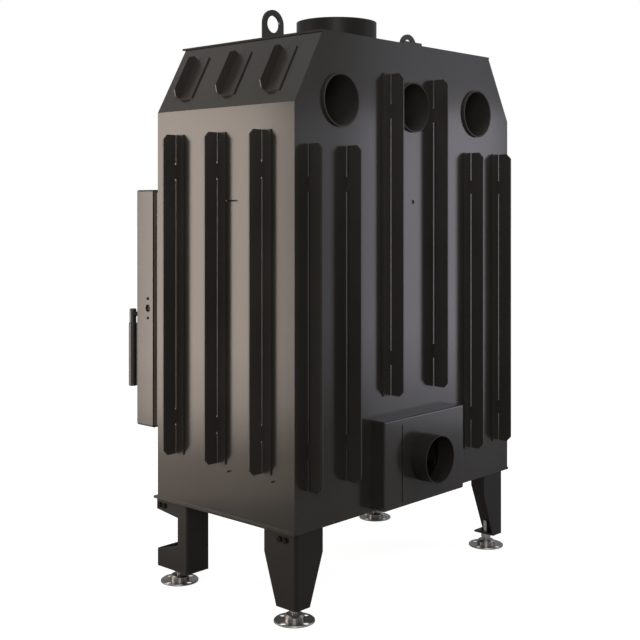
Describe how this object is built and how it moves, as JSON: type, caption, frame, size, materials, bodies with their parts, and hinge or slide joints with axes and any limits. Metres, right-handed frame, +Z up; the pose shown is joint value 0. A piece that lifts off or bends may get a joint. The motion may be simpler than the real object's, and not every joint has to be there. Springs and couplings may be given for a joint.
{
  "type": "wood fireplace insert",
  "caption": "Steel wood-burning fireplace insert with finned walls, sloped shoulders, hinged glass door, flue collar, outside-air intake and levelling feet.",
  "frame": {"origin": "on the floor, under the middle of the insert measured from handle to intake pipe", "axes": "+Z up, the door faces -Y, +X to the right of someone facing the door"},
  "size_m": [0.794, 0.5992, 1.208],
  "materials": {
    "heat_paint": "satin heat-resistant paint",
    "black_steel": "black, satin",
    "bare_steel": "bare, machined",
    "zinc": "bright zinc plated",
    "cast_iron": "rough casting",
    "fire_board": "matt fire clay",
    "fibre": "braided glass fibre",
    "glass": "clear heat-resistant"
  },
  "bodies": {
    "firebox": {"side_panel_right": "heat_paint", "side_panel_left": "heat_paint", "slope_panel_right": "heat_paint", "slope_panel_left": "heat_paint", "back_panel": "heat_paint", "front_panel": "heat_paint", "top_plate": "heat_paint", "base_plate": "heat_paint", "side_fins": "heat_paint", "slope_fins": "heat_paint", "back_fins": "heat_paint", "convection_tubes": "heat_paint", "flue_collar": "heat_paint", "intake_box": "heat_paint", "intake_pipe": "heat_paint", "lifting_eyes": "heat_paint", "rear_legs": "heat_paint", "front_legs": "heat_paint", "leg_bolts": "black_steel", "foot_lock_nuts": "zinc", "side_studs": "black_steel", "surround_spacer": "heat_paint", "door_surround": "heat_paint", "hinge_brackets": "heat_paint", "hinge_pins": "bare_steel", "hearth_plate": "heat_paint", "back_lining": "fire_board", "side_linings": "fire_board", "floor_lining": "fire_board", "smoke_baffle": "fire_board", "ash_pan": "bare_steel", "grate": "cast_iron", "log_guard": "heat_paint", "air_rod_guide": "heat_paint"},
    "door": {"door_frame": "heat_paint", "door_back_plate": "heat_paint", "glass_gasket": "fibre", "door_glass": "glass", "glass_clips": "bare_steel", "glass_clip_screws": "bare_steel", "door_rope_seal": "fibre", "door_hinge_leaves": "heat_paint", "latch_block": "bare_steel", "latch_screws": "bare_steel"},
    "handle": {"handle_shaft": "bare_steel", "door_handle": "black_steel", "handle_grip": "black_steel", "latch_arm": "bare_steel"},
    "air_control": {"air_rod": "bare_steel", "air_valve_plate": "bare_steel", "air_knob": "black_steel"},
    "foot_front_right": {"foot_plate_front_right": "zinc", "foot_spindle_front_right": "zinc"},
    "foot_front_left": {"foot_plate_front_left": "zinc", "foot_spindle_front_left": "zinc"},
    "foot_rear_right": {"foot_plate_rear_right": "zinc", "foot_spindle_rear_right": "zinc"},
    "foot_rear_left": {"foot_plate_rear_left": "zinc", "foot_spindle_rear_left": "zinc"}
  },
  "joints": [
    {"name": "door_hinge", "type": "hinge", "parent": "firebox", "child": "door", "pos_m": [-0.371, -0.1849, 0.578], "axis": [0, 0, -1], "range_deg": [0, 110]},
    {"name": "handle_turn", "type": "hinge", "parent": "door", "child": "handle", "pos_m": [0.338, -0.2904, 0.56], "axis": [0, 1, 0], "range_deg": [0, 90]},
    {"name": "air_slide", "type": "slide", "parent": "firebox", "child": "air_control", "axis": [0, -1, 0], "range_m": [0, 0.05]},
    {"name": "foot_screw_front_right", "type": "slide", "parent": "firebox", "child": "foot_front_right", "axis": [0, 0, -1], "range_m": [-0.004, 0.02]},
    {"name": "foot_screw_front_left", "type": "slide", "parent": "firebox", "child": "foot_front_left", "axis": [0, 0, -1], "range_m": [-0.004, 0.02]},
    {"name": "foot_screw_rear_right", "type": "slide", "parent": "firebox", "child": "foot_rear_right", "axis": [0, 0, -1], "range_m": [-0.004, 0.02]},
    {"name": "foot_screw_rear_left", "type": "slide", "parent": "firebox", "child": "foot_rear_left", "axis": [0, 0, -1], "range_m": [-0.004, 0.02]}
  ]
}
